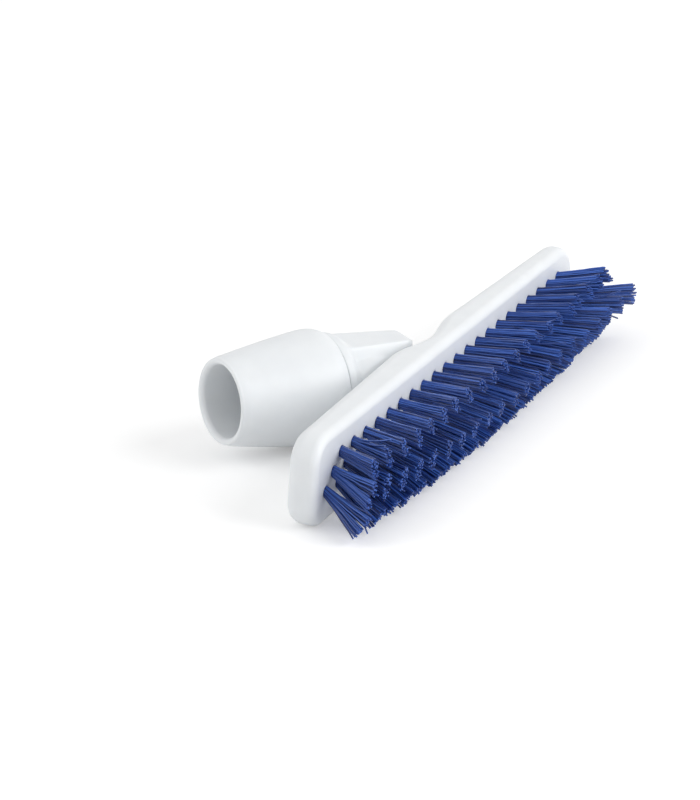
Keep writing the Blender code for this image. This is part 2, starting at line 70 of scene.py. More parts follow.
headSize = {
    "blank": 14 * mm,           # thickness before the back is shaped
    "top": 15 * mm,             # from the tufts' middle row to the upper side
    "bottom": 17.4 * mm,        # and to the lower side
    "saddleFloor": 9.2 * mm,
    "saddleLength": 48 * mm,
    "saddleCuts": 44,
    "endLand": 7 * mm,          # length of even thickness at each end
    "cornerSteps": 20,
    "backEdge": 4.8 * mm,       # roundings of the long edges
    "faceEdge": 3.1 * mm,
    "edgeSteps": 10,
    "pivotDepth": 13 * mm,      # from the tufted face to the pin
}
headEnds = {                    # the head reaches a little farther beyond its far tufts
    -1: {"reach": 115 * mm, "corner": 10 * mm, "lowCorner": 9 * mm, "shoulder": 13.6 * mm, "tip": 11 * mm},
    1: {"reach": 123 * mm, "corner": 15 * mm, "lowCorner": 9 * mm, "shoulder": 12.2 * mm, "tip": 9.2 * mm},
}
earSize = {
    "radius": 5.2 * mm,
    "inner": 4.4 * mm,          # half the gap between the ears
    "outer": 7.6 * mm,
    "sink": 5 * mm,             # from the tufted face to the ears' roots
    "edge": 0.5 * mm,
    "slotRadius": 6 * mm,       # of the slot in which the neck's tongue turns
    "slotReach": 12.6 * mm,
    "slotTop": 12 * mm,         # past the pin
    "pinHole": 2.65 * mm,
}
headPlace = placeMatrix(alongAxis, backAxis, upAxis, pivotPoint - backAxis * headSize["pivotDepth"])
neckPlace = placeMatrix(boreAxis.cross(upAxis), boreAxis, upAxis, pivotPoint)


# Camera, at the photograph's viewing angle
camera = {
    "azimuth": -66.548,         # degrees
    "elevation": 19.896,
    "distance": 1.473,          # metres
    "shiftRight": -0.01383,
    "shiftUp": 0.00608,
    "lens": 188.05,             # mm, on a sensor whose long side follows
    "sensor": 36,
}


def makeCamera():
    azimuth, elevation = math.radians(camera["azimuth"]), math.radians(camera["elevation"])
    forward = Vector((-math.sin(azimuth) * math.cos(elevation), math.cos(azimuth) * math.cos(elevation),
                      -math.sin(elevation)))
    right = Vector((math.cos(azimuth), math.sin(azimuth), 0))
    up = right.cross(forward)
    lens = bpy.data.cameras.new("camera")
    lens.lens = camera["lens"]
    lens.sensor_width = camera["sensor"]
    lens.clip_start, lens.clip_end = 0.05, 20
    viewer = bpy.data.objects.new("camera", lens)
    scene.collection.objects.link(viewer)
    viewer.location = right * camera["shiftRight"] + up * camera["shiftUp"] - forward * camera["distance"]
    viewer.rotation_mode = "QUATERNION"
    viewer.rotation_quaternion = forward.to_track_quat("-Z", "Y")
    scene.camera = viewer


# Materials
def hexColour(code):
    parts = [int(code[k:k + 2], 16) / 255 for k in (1, 3, 5)]
    return [c / 12.92 if c <= 0.04045 else ((c + 0.055) / 1.055) ** 2.4 for c in parts] + [1.0]


def addNode(tree, kind, inputs=None, **settings):
    node = tree.nodes.new("ShaderNode" + kind)
    for name, value in settings.items():
        setattr(node, name, value)
    for name, value in (inputs or {}).items():
        if isinstance(value, bpy.types.NodeSocket):
            tree.links.new(value, node.inputs[name])
        else:
            node.inputs[name].default_value = value
    return node


def newMaterial(name):
    material = bpy.data.materials.new(name)
    material.use_nodes = True
    tree = material.node_tree
    return material, tree, tree.nodes["Principled BSDF"]


def objectPlace(tree):
    return addNode(tree, "TexCoord").outputs["Object"]


def addNoise(tree, place, size, detail):
    noise = addNode(tree, "TexNoise", {"Vector": place, "Scale": 1 / size, "Detail": detail})
    return noise.outputs["Fac"]


def blendColour(tree, shader, factor, first, second):
    tint = addNode(tree, "Mix", {"Factor": factor}, data_type="RGBA")
    tint.inputs["A"].default_value = hexColour(first)
    tint.inputs["B"].default_value = hexColour(second)
    tree.links.new(tint.outputs["Result"], shader.inputs["Base Color"])


def blendRoughness(tree, shader, factor, smooth, dull, low=0.0, high=1.0):
    sheen = addNode(tree, "MapRange", {"Value": factor, "From Min": low, "From Max": high,
                                       "To Min": smooth, "To Max": dull})
    tree.links.new(sheen.outputs["Result"], shader.inputs["Roughness"])


def seenRays(tree):
    # 1 for the camera's rays and for mirrored and transmitted ones, 0 for the rays that light the object
    rays = addNode(tree, "LightPath")
    seen = addNode(tree, "Math", {0: rays.outputs["Is Camera Ray"], 1: rays.outputs["Is Glossy Ray"]},
                   operation="ADD")
    seen = addNode(tree, "Math", {0: seen.outputs[0], 1: rays.outputs["Is Transmission Ray"]},
                   operation="ADD", use_clamp=True)
    return seen.outputs[0]


plasticLook = {
    "light": "#EEF1F3",
    "dark": "#E5E8EB",
    "cloudSize": 9 * mm,        # soft flow clouds left by the moulding
    "smooth": 0.34,             # lowest and highest roughness
    "dull": 0.43,
    "scuffSize": 2.5 * mm,
    "grainSize": 0.35 * mm,     # fine skin of the mould; wide enough to show
    "grainDepth": 0.006 * mm,
    "grainStrength": 0.35,
    "refraction": 1.49,
    "scatterWeight": 0.3,
    "scatterTint": (1.0, 0.95, 0.9),
    "scatterDepth": 2 * mm,
}


# Moulded polypropylene: cool white, satin, a little see-through at its edges
def mouldedPolypropylene(name, seed):
    look = plasticLook
    material, tree, shader = newMaterial(name)
    shift = (seed, seed * 0.7, seed * 0.3)      # so that each piece has clouds of its own
    place = addNode(tree, "Mapping", {"Vector": objectPlace(tree), "Location": shift}).outputs[0]
    blendColour(tree, shader, addNoise(tree, place, look["cloudSize"], 3.0), look["dark"], look["light"])
    scuffs = addNoise(tree, place, look["scuffSize"], 4.0)
    blendRoughness(tree, shader, scuffs, look["smooth"], look["dull"], low=0.3, high=0.7)
    bump = addNode(tree, "Bump", {"Height": addNoise(tree, place, look["grainSize"], 2.0),
                                  "Strength": look["grainStrength"], "Distance": look["grainDepth"]})
    tree.links.new(bump.outputs["Normal"], shader.inputs["Normal"])
    shader.inputs["IOR"].default_value = look["refraction"]
    shader.inputs["Subsurface Weight"].default_value = look["scatterWeight"]
    shader.inputs["Subsurface Radius"].default_value = look["scatterTint"]
    shader.inputs["Subsurface Scale"].default_value = look["scatterDepth"]
    return material


filamentLook = {
    "dark": "#122159",
    "light": "#426CC6",
    "cut": "#6C8EDC",
    "cutRoughness": 0.6,
    "streakSize": 0.8 * mm,
    "smooth": 0.28,
    "dull": 0.46,
    "refraction": 1.57,
    "specular": 0.34,
}


# Drawn polyester filament: royal blue, slightly glossy, each strand a shade of its own
def drawnFilament():
    look = filamentLook
    material, tree, shader = newMaterial("drawnPolyesterFilament")
    strand = addNode(tree, "NewGeometry").outputs["Random Per Island"]
    blendColour(tree, shader, strand, look["dark"], look["light"])
    streaks = addNoise(tree, objectPlace(tree), look["streakSize"], 2.0)
    blendRoughness(tree, shader, streaks, look["smooth"], look["dull"])
    shader.inputs["IOR"].default_value = look["refraction"]
    shader.inputs["Specular IOR Level"].default_value = look["specular"]
    return material


# The sheared ends of the filaments scatter more light than their sides
def shearedEnds():
    look = filamentLook
    material, tree, shader = newMaterial("shearedFilamentEnds")
    strand = addNode(tree, "NewGeometry").outputs["Random Per Island"]
    blendColour(tree, shader, strand, look["light"], look["cut"])
    shader.inputs["Roughness"].default_value = look["cutRoughness"]
    return material


steelLook = {
    "dark": "#A9ABAD",
    "light": "#C9CBCE",
    "markSize": 0.4 * mm,
    "smooth": 0.22,
    "dull": 0.38,
}


# Bright zinc-plated steel: turned, with fine scratches
def platedSteel():
    look = steelLook
    material, tree, shader = newMaterial("zincPlatedSteel")
    marks = addNoise(tree, objectPlace(tree), look["markSize"], 5.0)
    blendColour(tree, shader, marks, look["dark"], look["light"])
    blendRoughness(tree, shader, marks, look["smooth"], look["dull"])
    shader.inputs["Metallic"].default_value = 1.0
    return material


# Shapes that several pieces share
def clamp(value):
    return min(1.0, max(0.0, value))


def smoothStep(value):
    value = clamp(value)
    return value * value * (3 - 2 * value)


def arcPoints(centre, radius, start, end, steps):
    angles = [start + (end - start) * k / steps for k in range(steps + 1)]
    return [(centre[0] + radius * math.cos(a), centre[1] + radius * math.sin(a)) for a in angles]


def bevelEdges(bm, edges, radius, segments):
    bmesh.ops.bevel(bm, geom=edges, offset=radius, offset_type="OFFSET", affect="EDGES", segments=segments,
                    profile=0.5, clamp_overlap=True, material=-1)


def rimEdges(bm):
    # edges between a flat side, facing up or down, and a wall
    return [e for e in bm.edges if len(e.link_faces) == 2
            and sum(abs(f.normal.z) > 0.99 for f in e.link_faces) == 1]


def turnAboutX(bm, angle):
    bmesh.ops.rotate(bm, verts=bm.verts, cent=(0, 0, 0), matrix=Matrix.Rotation(angle, 3, "X"))


def rod(radius, low, high, centre=(0, 0), sides=64):
    bm = bmesh.new()
    place = Matrix.Translation((centre[0], centre[1], (low + high) / 2))
    bmesh.ops.create_cone(bm, cap_ends=True, segments=sides, radius1=radius, radius2=radius,
                          depth=high - low, matrix=place)
    return bm


def rodInBore(radius, low, high, sides=64):
    bm = rod(radius, low, high, sides=sides)
    turnAboutX(bm, -math.pi / 2)
    return bm


def slab(outline, low, high, edgeRadius=0.0):
    bm = bmesh.new()
    face = bm.faces.new([bm.verts.new((x, y, low)) for x, y in outline])
    grown = bmesh.ops.extrude_face_region(bm, geom=[face])
    bmesh.ops.translate(bm, verts=[v for v in grown["geom"] if isinstance(v, bmesh.types.BMVert)],
                        vec=(0, 0, high - low))
    bmesh.ops.recalc_face_normals(bm, faces=bm.faces)
    if edgeRadius:
        bevelEdges(bm, rimEdges(bm), edgeRadius, 4)
    return bm


def closedLoop(bm, points):
    # points are radius and height along the spin's axis, which is Y
    verts = [bm.verts.new((r, h, 0)) for r, h in points]
    return verts + [bm.edges.new(pair) for pair in zip(verts, verts[1:] + verts[:1])]


def spinProfile(points, sides):
    bm = bmesh.new()
    bmesh.ops.spin(bm, geom=closedLoop(bm, points), axis=(0, 1, 0), cent=(0, 0, 0), angle=2 * math.pi,
                   steps=sides, use_merge=True)
    bmesh.ops.remove_doubles(bm, verts=bm.verts, dist=tiny)
    return bm


def meshObject(name, bm):
    bmesh.ops.recalc_face_normals(bm, faces=bm.faces)
    mesh = bpy.data.meshes.new(name)
    bm.to_mesh(mesh)
    bm.free()
    piece = bpy.data.objects.new(name, mesh)
    scene.collection.objects.link(piece)
    return piece


def finishedMesh(piece):
    return bpy.data.meshes.new_from_object(piece.evaluated_get(bpy.context.evaluated_depsgraph_get()))


def carve(piece, bm, operation):
    # joins or cuts with an exact Boolean and keeps the result as the piece's mesh
    other = meshObject("carver", bm)
    modifier = piece.modifiers.new("carve", "BOOLEAN")
    modifier.operation = operation
    modifier.solver = "EXACT"
    modifier.use_self = True
    modifier.object = other
    done = finishedMesh(piece)
    piece.modifiers.clear()
    piece.data = done
    bpy.data.objects.remove(other, do_unlink=True)


def settle(piece, place, material, body, node, sharpAngle=35):
    # puts the place in the mesh, shades it and hands the piece to its body
    mesh = piece.data
    mesh.transform(place)
    mesh.materials.clear()
    mesh.materials.append(material)
    mesh.shade_smooth()
    mesh.set_sharp_from_angle(angle=math.radians(sharpAngle))
    even = piece.modifiers.new("evenNormals", "WEIGHTED_NORMAL")
    even.keep_sharp = True
    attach(piece, body)
    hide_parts(node)
    print("made", piece.name, len(mesh.polygons), "faces")


# Tufts' places, which the head's holes share
tufts = {
    "columns": 21,
    "pitch": 10 * mm,
    "rowGap": 5.3 * mm,
    "rowShift": 5.5 * mm,           # each row starts this much farther along than the one below it
    "holeRadius": 2.15 * mm,
    "holeDepth": 6.5 * mm,
    "filaments": 44,                # in a tuft, twice the bundle that is folded over the staple
    "filamentRadius": 0.3 * mm,
    "thinnest": 0.9,                # shares of that radius
    "thickest": 1.1,
    "rootRadius": 1.8 * mm,
    "rootDepth": 0.6,               # share of the hole's depth at which a filament starts
    "tipRadius": 2.1 * mm,
    "endSplay": 0.5 * mm,           # more splay at the head's ends
    "split": 0.25 * mm,             # the two halves of a folded tuft part a little
    "tiltChange": 0.35,             # radians by which that parting turns from tuft to tuft
    "trimSlope": 0.5,               # the trim falls away from the middle row
    "uneven": 0.3 * mm,             # in length, of tufts and of filaments
    "crimp": 0.06 * mm,
    "crimpLength": 8 * mm,
    "bend": 0.18 * mm,
    "strayShare": 0.03,
    "strayLean": 1.8 * mm,
    "tipClearance": 0.8 * mm,       # between the lowest row's tips and the floor
    "pile": 1.1 * mm,               # filaments that meet the floor lie up to this high on one another
    "floorSoftness": 0.5 * mm,      # how gently they bend there
    "steps": 7,                     # along a filament
    "seed": 300,
}
# Values at -1 and 1 are for the head's two ends: grow is the share that the reach gains, fan the lean in
# degrees and lift the rise that is added; a row with no rise of its own has its tips on the floor
rows = (
    {"side": 1, "reach": 18.8 * mm, "grow": {-1: -0.12, 1: -0.12}, "rise": 1.6 * mm, "fan": {-1: 31, 1: 31},
     "lift": {-1: -0.9 * mm, 1: -0.2 * mm}, "spread": 0.95, "wide": 1.15, "endSplit": 0.35 * mm, "tilt": 90},
    {"side": 0, "reach": 25 * mm, "grow": {-1: -0.2, 1: 0.03}, "rise": -2.6 * mm, "fan": {-1: 36, 1: 37},
     "lift": {-1: 3.4 * mm, 1: 2.2 * mm}, "spread": 1.1, "wide": 1.6, "endSplit": 0.6 * mm, "tilt": 48},
    {"side": -1, "reach": 22 * mm, "grow": {-1: -0.16, 1: -0.14}, "rise": None, "fan": {-1: 30, 1: 36},
     "lift": {-1: 2.4 * mm, 1: 0.8 * mm}, "spread": 1.35, "wide": 1.5, "endSplit": 0.25 * mm, "tilt": 32},
)
endStep = (tufts["columns"] - 1) / 2


def tuftRoot(step, row):
    return step * tufts["pitch"] + row["side"] * tufts["rowShift"], row["side"] * tufts["rowGap"]


# Head
def thicknessAt(x):
    end = headEnds[1 if x > 0 else -1]
    shoulder = headSize["saddleLength"] / 2
    low = headSize["saddleFloor"]
    if abs(x) < shoulder:
        return low + (end["shoulder"] - low) * (1 - math.cos(math.pi * x / shoulder)) / 2
    share = min(1, (abs(x) - shoulder) / (end["reach"] - headSize["endLand"] - shoulder))
    return end["shoulder"] + (end["tip"] - end["shoulder"]) * share


def headBlank():
    size = headSize
    near, far = headEnds[-1]["reach"], headEnds[1]["reach"]
    bm = bmesh.new()
    bmesh.ops.create_cube(bm, size=1)
    bmesh.ops.scale(bm, verts=bm.verts, vec=(near + far, size["blank"], size["top"] + size["bottom"]))
    bmesh.ops.translate(bm, verts=bm.verts, vec=((far - near) / 2, size["blank"] / 2,
                                                 (size["top"] - size["bottom"]) / 2))
    for side, end in headEnds.items():
        for level, radius in ((size["top"], end["corner"]), (-size["bottom"], end["lowCorner"])):
            corner = [e for e in bm.edges if all(abs(v.co.x - side * end["reach"]) < tiny
                                                 and abs(v.co.z - level) < tiny for v in e.verts)]
            bevelEdges(bm, corner, radius, size["cornerSteps"])
    for level, radius in ((size["blank"], size["backEdge"]), (0, size["faceEdge"])):
        rims = [e for e in bm.edges if all(abs(v.co.y - level) < tiny for v in e.verts)]
        bevelEdges(bm, rims, radius, size["edgeSteps"])
    cuts, half = size["saddleCuts"], size["saddleLength"] / 2
    for k in range(cuts + 1):
        geom = bm.verts[:] + bm.edges[:] + bm.faces[:]
        bmesh.ops.bisect_plane(bm, geom=geom, plane_co=(half * (2 * k / cuts - 1), 0, 0), plane_no=(1, 0, 0),
                               dist=tiny)
    for v in bm.verts:
        if v.co.y > size["blank"] / 2:
            v.co.y -= size["blank"] - thicknessAt(v.co.x)
    return meshObject("headBlock", bm)


def addEars(block):
    size = earSize
    depth = headSize["pivotDepth"]
    outline = [(size["radius"], size["sink"])]
    outline += arcPoints((0, depth), size["radius"], 0, math.pi, 32)
    outline += [(-size["radius"], size["sink"])]
    for side in (-1, 1):
        low, high = sorted((side * size["inner"], side * size["outer"]))
        carve(block, slab(outline, low, high, size["edge"]), "UNION")


def cutTongueSlot(block):
    size = earSize
    depth = headSize["pivotDepth"]
    bottom = arcPoints((0, depth), size["slotRadius"], swing - math.pi, -swing, 24)
    outX, outY = math.sin(swing) * size["slotReach"], math.cos(swing) * size["slotReach"]
    left, right = bottom[0], bottom[-1]
    top = depth + size["slotTop"]
    outline = [(left[0] - outX, top), (left[0] - outX, left[1] + outY)] + bottom
    outline += [(right[0] + outX, right[1] + outY), (right[0] + outX, top)]
    carve(block, slab(outline, -size["inner"], size["inner"]), "DIFFERENCE")


def drillHead(block):
    reach = earSize["outer"] + overrun
    carve(block, rod(earSize["pinHole"], -reach, reach, (0, headSize["pivotDepth"])), "DIFFERENCE")
    radius, depth = tufts["holeRadius"], tufts["holeDepth"]
    holes = bmesh.new()
    for column in range(tufts["columns"]):
        for row in rows:
            x, z = tuftRoot(column - endStep, row)
            place = Matrix.Translation((x, depth / 2 - overrun, z)) @ Matrix.Rotation(math.pi / 2, 4, "X")
            bmesh.ops.create_cone(holes, cap_ends=True, segments=24, radius1=radius, radius2=radius,
                                  depth=depth + 2 * overrun, matrix=place)
    carve(block, holes, "DIFFERENCE")


def makeHeadBlock(material):
    block = headBlank()
    addEars(block)
    cutTongueSlot(block)
    drillHead(block)
    settle(block, headPlace, material, "head", "head_block")


# Neck
neckSize = {
    "noseStart": 2.8 * mm,
    "noseRadius": 5.8 * mm,
    "noseRounding": 4 * mm,
    "noseSteps": 14,
    "halfHeight": 13.5 * mm,
    "flankSteps": 22,
    "squareness": 3.6,          # of the nose's section; 2 is a circle
    "ribRise": 0.45 * mm,       # a flat rib runs along the top and the bottom of the neck
    "ribRiseEnd": 2 * mm,       # and grows toward the collar
    "ribStart": 4.8 * mm,       # its half width at the nose
    "ribEnd": 7.2 * mm,         # and by the collar
    "ribFlank": 2.2 * mm,
    "seam": 37.4 * mm,
    "collarLength": 7 * mm,
    "collarSteps": 20,
    "collarFlare": 0.65,        # the part of the collar that widens
    "collarRadius": 18.1 * mm,
    "neckEnd": 15.9 * mm,       # half width where the collar starts
    "collarEdge": 0.8 * mm,     # rounding at the seam
    "earRoom": 7.6 * mm,
    "earRoomHalf": 8 * mm,
    "tongueRadius": 5.6 * mm,
    "tongueThickness": 8 * mm,
    "tongueRoot": 2 * mm,       # past the room for the ears
    "tongueEdge": 0.5 * mm,
    "spigotRadius": 6 * mm,
    "spigotEnd": 43.1 * mm,
    "screwHole": 2.15 * mm,
    "screwHoleStart": 27 * mm,
    "screwHoleEnd": 45 * mm,
    "sides": 256,
}
collarStart = neckSize["seam"] - neckSize["collarLength"]
noseCentre = neckSize["noseStart"] + neckSize["noseRadius"]
flankReach = math.hypot(neckSize["neckEnd"], collarStart - noseCentre)
flankAngle = (math.atan2(neckSize["neckEnd"], collarStart - noseCentre)
              - math.asin(neckSize["noseRadius"] / flankReach))


def neckRing(bm, station):
    # a section of the neck: squarish at the nose, ribbed along the flanks, round at the collar
    size = neckSize
    radius = size["noseRadius"]
    share = min(1, (station - size["noseStart"]) / (collarStart - size["noseStart"]))
    ahead = min(station, collarStart) - noseCentre
    if ahead < -radius * math.sin(flankAngle):
        width = math.sqrt(max(0.0, radius ** 2 - ahead ** 2))
    else:
        width = ahead * math.tan(flankAngle) + radius / math.cos(flankAngle)
    short = max(0.0, 1 - (station - size["noseStart"]) / size["noseRounding"])
    height = size["halfHeight"] - size["noseRounding"] * (1 - math.sqrt(1 - short ** 2))
    power = 2 + (size["squareness"] - 2) * (1 - share ** 2)
    rib = size["ribStart"] + (size["ribEnd"] - size["ribStart"]) * share
    ribTop = height + size["ribRise"] + (size["ribRiseEnd"] - size["ribRise"]) * share
    blend = smoothStep((station - collarStart) / (size["collarLength"] * size["collarFlare"]))
    late = clamp((station - size["seam"]) / size["collarEdge"] + 1)
    collar = size["collarRadius"] - size["collarEdge"] * (1 - math.sqrt(1 - late ** 2))
    ring = bmesh.ops.create_circle(bm, segments=size["sides"], radius=1)["verts"]
    for v in ring:
        roundX, roundZ = v.co.x, v.co.y
        x, z = [math.copysign(abs(c) ** (2 / power), c) for c in (roundX, roundZ)]
        x, z = x * width, z * height
        if abs(z) > height / 2:
            raised = smoothStep((rib + size["ribFlank"] - abs(x)) / size["ribFlank"])
            z += math.copysign((ribTop - abs(z)) * raised, z)
        v.co = (x + (roundX * collar - x) * blend, station, z + (roundZ * collar - z) * blend)
    return ring


def ringEdges(ring, edges):
    members = set(ring)
    return [e for e in edges if members.issuperset(e.verts)]


def neckShell():
    size = neckSize
    noseSteps, flankSteps, collarSteps = size["noseSteps"], size["flankSteps"], size["collarSteps"]
    stations = [noseCentre - size["noseRadius"] * math.cos((math.pi / 2 - flankAngle) * k / noseSteps)
                for k in range(1, noseSteps + 1)]
    start = stations[-1]
    stations += [start + (collarStart - start) * k / flankSteps for k in range(1, flankSteps + 1)]
    stations += [collarStart + size["collarLength"] * k / collarSteps for k in range(1, collarSteps + 1)]
    bm = bmesh.new()
    rings = [neckRing(bm, station) for station in stations]
    for first, second in zip(rings, rings[1:]):
        linked = {e for v in first + second for e in v.link_edges}
        bmesh.ops.bridge_loops(bm, edges=ringEdges(first, linked) + ringEdges(second, linked))
    for ring in (rings[0], rings[-1]):
        linked = {e for v in ring for e in v.link_edges}
        bmesh.ops.contextual_create(bm, geom=ringEdges(ring, linked))
    return meshObject("swivelNeck", bm)


def makeNeck(material):
    size = neckSize
    neck = neckShell()
    carve(neck, rod(size["earRoom"], -size["earRoomHalf"], size["earRoomHalf"]), "DIFFERENCE")
    root = size["earRoom"] + size["tongueRoot"]
    radius, half = size["tongueRadius"], size["tongueThickness"] / 2
    outline = arcPoints((0, 0), radius, math.pi, 2 * math.pi, 32) + [(radius, root), (-radius, root)]
    carve(neck, slab(outline, -half, half, size["tongueEdge"]), "UNION")
    carve(neck, rodInBore(size["spigotRadius"], size["seam"] - overrun, size["spigotEnd"]), "UNION")
    carve(neck, rod(earSize["pinHole"], -half - overrun, half + overrun), "DIFFERENCE")
    screwHole = rodInBore(size["screwHole"], size["screwHoleStart"], size["screwHoleEnd"], sides=32)
    carve(neck, screwHole, "DIFFERENCE")
    settle(neck, neckPlace, material, "neck", "neck", sharpAngle=30)


# Socket barrel
barrelSize = {
    "seam": 37.8 * mm,
    "length": 41.2 * mm,
    "mouthRadius": 15.2 * mm,
    "mouthRounding": 1.2 * mm,
    "innerRounding": 2 * mm,
    "crestRadius": 14.5 * mm,   # of the lip's foremost ring
    "bellyRadius": 20.4 * mm,
    "bellyDepth": 35.6 * mm,    # from the mouth
    "mouthCurve": 1.2,          # powers of the flank's two curves, which meet at the belly
    "seamCurve": 2.5,
    "flankSteps": 40,
    "seamRadius": 18.8 * mm,
    "seamRounding": 0.9 * mm,
    "boreRadius": 12.7 * mm,
    "boreSteps": 6,
    "floorThickness": 5.6 * mm,
    "floorChamfer": 1 * mm,
    "spigotHole": 6.3 * mm,
    "sides": 160,
}
threadSize = {
    "start": 14.5 * mm,         # depth of its first turn below the mouth
    "pitch": 5 * mm,
    "turns": 3.2,
    "crest": 11.6 * mm,
    "rootWidth": 2.6 * mm,
    "crestWidth": 1 * mm,
    "sink": 0.3 * mm,           # of its root in the bore's wall
    "fade": 0.16,               # share of the pitch in which each end of the thread sinks away
    "fadeSink": 0.1 * mm,
    "stepsPerTurn": 72,
}
mouth = barrelSize["seam"] + barrelSize["length"]


def barrelRadius(depth):
    size = barrelSize
    belly = size["bellyRadius"]
    if depth <= size["bellyDepth"]:
        share = 1 - depth / size["bellyDepth"]
        return belly - (belly - size["mouthRadius"]) * share ** size["mouthCurve"]
    share = (depth - size["bellyDepth"]) / (size["length"] - size["bellyDepth"])
    return belly - (belly - size["seamRadius"]) * share ** size["seamCurve"]


def barrelProfile():
    size = barrelSize
    crest, outer, inner = size["crestRadius"], size["mouthRounding"], size["innerRounding"]
    outerRim = [(crest + (size["mouthRadius"] - crest) * x, mouth - outer * (1 - y))
                for x, y in arcPoints((0, 0), 1, math.pi / 2, 0, 10)]
    start, end, steps = outer, size["length"] - size["seamRounding"], size["flankSteps"]
    depths = [start + (end - start) * k / steps for k in range(1, steps + 1)]
    flank = [(barrelRadius(depth), mouth - depth) for depth in depths]
    foot = arcPoints((barrelRadius(end) - size["seamRounding"], size["seam"] + size["seamRounding"]),
                     size["seamRounding"], 0, -math.pi / 2, 5)[1:]
    floorAt, boreTop = size["seam"] + size["floorThickness"], mouth - inner
    chamfer, steps = size["floorChamfer"], size["boreSteps"]
    bore = [(size["spigotHole"], size["seam"]), (size["spigotHole"], floorAt),
            (size["boreRadius"] - chamfer, floorAt), (size["boreRadius"], floorAt + chamfer)]
    bore += [(size["boreRadius"], boreTop - (boreTop - floorAt - chamfer) * (1 - k / steps))
             for k in range(1, steps + 1)]
    innerRim = [(crest + (crest - size["boreRadius"]) * x, mouth - inner * (1 - y))
                for x, y in arcPoints((0, 0), 1, math.pi, math.pi / 2, 8)[1:-1]]
    return outerRim + flank + foot + bore + innerRim


def poleThread():
    size = threadSize
    bore = barrelSize["boreRadius"]
    top = mouth - size["start"]
    low = top - size["pitch"] * size["turns"]
    root, crest = bore + size["sink"], size["crest"]
    section = [(root, top), (root, top - size["rootWidth"]),
               (crest, top - (size["rootWidth"] + size["crestWidth"]) / 2),
               (crest, top - (size["rootWidth"] - size["crestWidth"]) / 2)]
    bm = bmesh.new()
    bmesh.ops.spin(bm, geom=closedLoop(bm, section), axis=(0, 1, 0), cent=(0, 0, 0),
                   angle=2 * math.pi * size["turns"], dvec=(0, -size["pitch"] / size["stepsPerTurn"], 0),
                   steps=int(size["turns"] * size["stepsPerTurn"]), use_merge=False)
    bmesh.ops.holes_fill(bm, edges=[e for e in bm.edges if e.is_boundary], sides=4)
    fade = size["pitch"] * size["fade"]
    for v in bm.verts:
        radius = math.hypot(v.co.x, v.co.z)
        middle = v.co.y + size["rootWidth"] / 2
        inside = clamp((min(top - middle, middle - low) + fade / 2) / fade)
        if radius < bore:
            want = radius + (bore + size["fadeSink"] - radius) * (1 - inside)
            v.co.x *= want / radius
            v.co.z *= want / radius
    return bm


def makeBarrel(material):
    barrel = meshObject("socketBarrel", spinProfile(barrelProfile(), barrelSize["sides"]))
    carve(barrel, poleThread(), "UNION")
    settle(barrel, neckPlace, material, "neck", "socket_barrel", sharpAngle=28)


# Pin, washer and screw
pinSize = {
    "radius": 2.5 * mm,
    "half": 7.6 * mm,
    "dome": 0.5 * mm,
    "sides": 64,
}
washerSize = {
    "outer": 8.6 * mm,
    "inner": 2.3 * mm,
    "thick": 1.2 * mm,
    "edge": 0.15 * mm,
    "gap": 0.3 * mm,            # under the washer and over it
    "sides": 64,
}
screwSize = {
    "radius": 2 * mm,
    "length": 17 * mm,
    "headRadius": 4.2 * mm,
    "headHeight": 2.8 * mm,
    "crown": 1.5 * mm,          # the domed part of the head
    "crossLength": 4.2 * mm,
    "crossDepth": 1.4 * mm,
    "crossWidth": 1 * mm,
    "sides": 48,
}
washerSeat = barrelSize["seam"] + barrelSize["floorThickness"] + washerSize["gap"]


def makePin(material):
    size = pinSize
    radius, half, dome = size["radius"], size["half"], size["dome"]
    upper = arcPoints((radius - dome, half - dome), dome, math.pi / 2, 0, 5)
    profile = [(0, half)] + upper + [(r, -h) for r, h in reversed(upper)] + [(0, -half)]
    bm = spinProfile(profile, size["sides"])
    turnAboutX(bm, math.pi / 2)
    place = headPlace @ Matrix.Translation((0, headSize["pivotDepth"], 0))
    settle(meshObject("pivotPin", bm), place, material, "head", "pivot_pin")


def makeWasher(material):
    size = washerSize
    inner, outer, edge = size["inner"], size["outer"], size["edge"]
    low, high = washerSeat, washerSeat + size["thick"]
    profile = [(inner + edge, high), (outer - edge, high), (outer, high - edge), (outer, low + edge),
               (outer - edge, low), (inner + edge, low), (inner, low + edge), (inner, high - edge)]
    washer = meshObject("retainingWasher", spinProfile(profile, size["sides"]))
    settle(washer, neckPlace, material, "neck", "retaining_washer")


def makeScrew(material):
    size = screwSize
    head, shank = size["headRadius"], size["radius"]
    base = washerSeat + washerSize["thick"] + washerSize["gap"]
    top, tip = base + size["headHeight"], base - size["length"]
    crown = [(head * x, top - size["crown"] * (1 - y)) for x, y in arcPoints((0, 0), 1, math.pi / 2, 0, 10)]
    crown[0] = (0, top)
    profile = crown + [(head, base), (shank, base), (shank, tip + shank), (0, tip)]
    screw = meshObject("retainingScrew", spinProfile(profile, size["sides"]))
    for turn in (0, math.pi / 2):
        arm = bmesh.new()
        bmesh.ops.create_cube(arm, size=1)
        bmesh.ops.scale(arm, verts=arm.verts, vec=(size["crossLength"], 2 * size["crossDepth"],
                                                   size["crossWidth"]))
        bmesh.ops.translate(arm, verts=arm.verts, vec=(0, top, 0))
        bmesh.ops.rotate(arm, verts=arm.verts, cent=(0, 0, 0), matrix=Matrix.Rotation(turn, 3, "Y"))
        carve(screw, arm, "DIFFERENCE")
    settle(screw, neckPlace, material, "neck", "retaining_screw")


# Tufts
def tuftSpots(count):
    # evenly spread over a disc of radius 1
    golden = math.pi * (3 - math.sqrt(5))
    for k in range(count):
        radius = math.sqrt((k + 0.5) / count)
        yield radius * math.cos(k * golden), radius * math.sin(k * golden)


